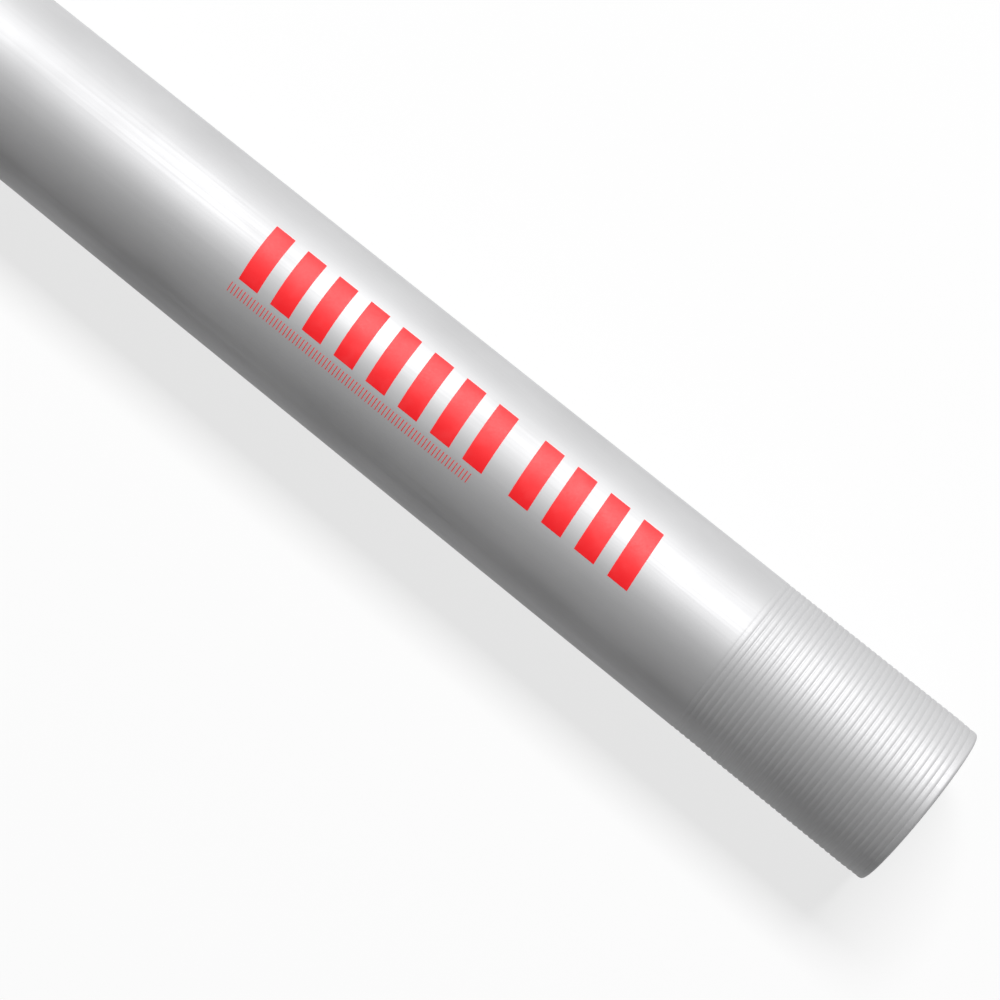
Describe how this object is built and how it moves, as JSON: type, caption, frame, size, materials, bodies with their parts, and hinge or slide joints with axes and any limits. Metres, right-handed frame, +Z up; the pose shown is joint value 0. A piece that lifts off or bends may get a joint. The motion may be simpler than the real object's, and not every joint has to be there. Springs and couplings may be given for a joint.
{
  "type": "intermediate metal conduit",
  "caption": "Straight round zinc-coated steel tube that carries electrical wires, smooth along its body, with a fine outside thread at each end.",
  "frame": {"origin": "middle of the tube's length, on the plane that the tube lies on, straight below its axis", "axes": "+X along the tube, +Y level across it, +Z up"},
  "size_m": [3.0226, 0.0598, 0.0599],
  "materials": {
    "zinc_coated_steel": "satin",
    "red_marking_ink": "semi-gloss print"
  },
  "bodies": {
    "root": {"conduit": "zinc_coated_steel"}
  },
  "joints": []
}
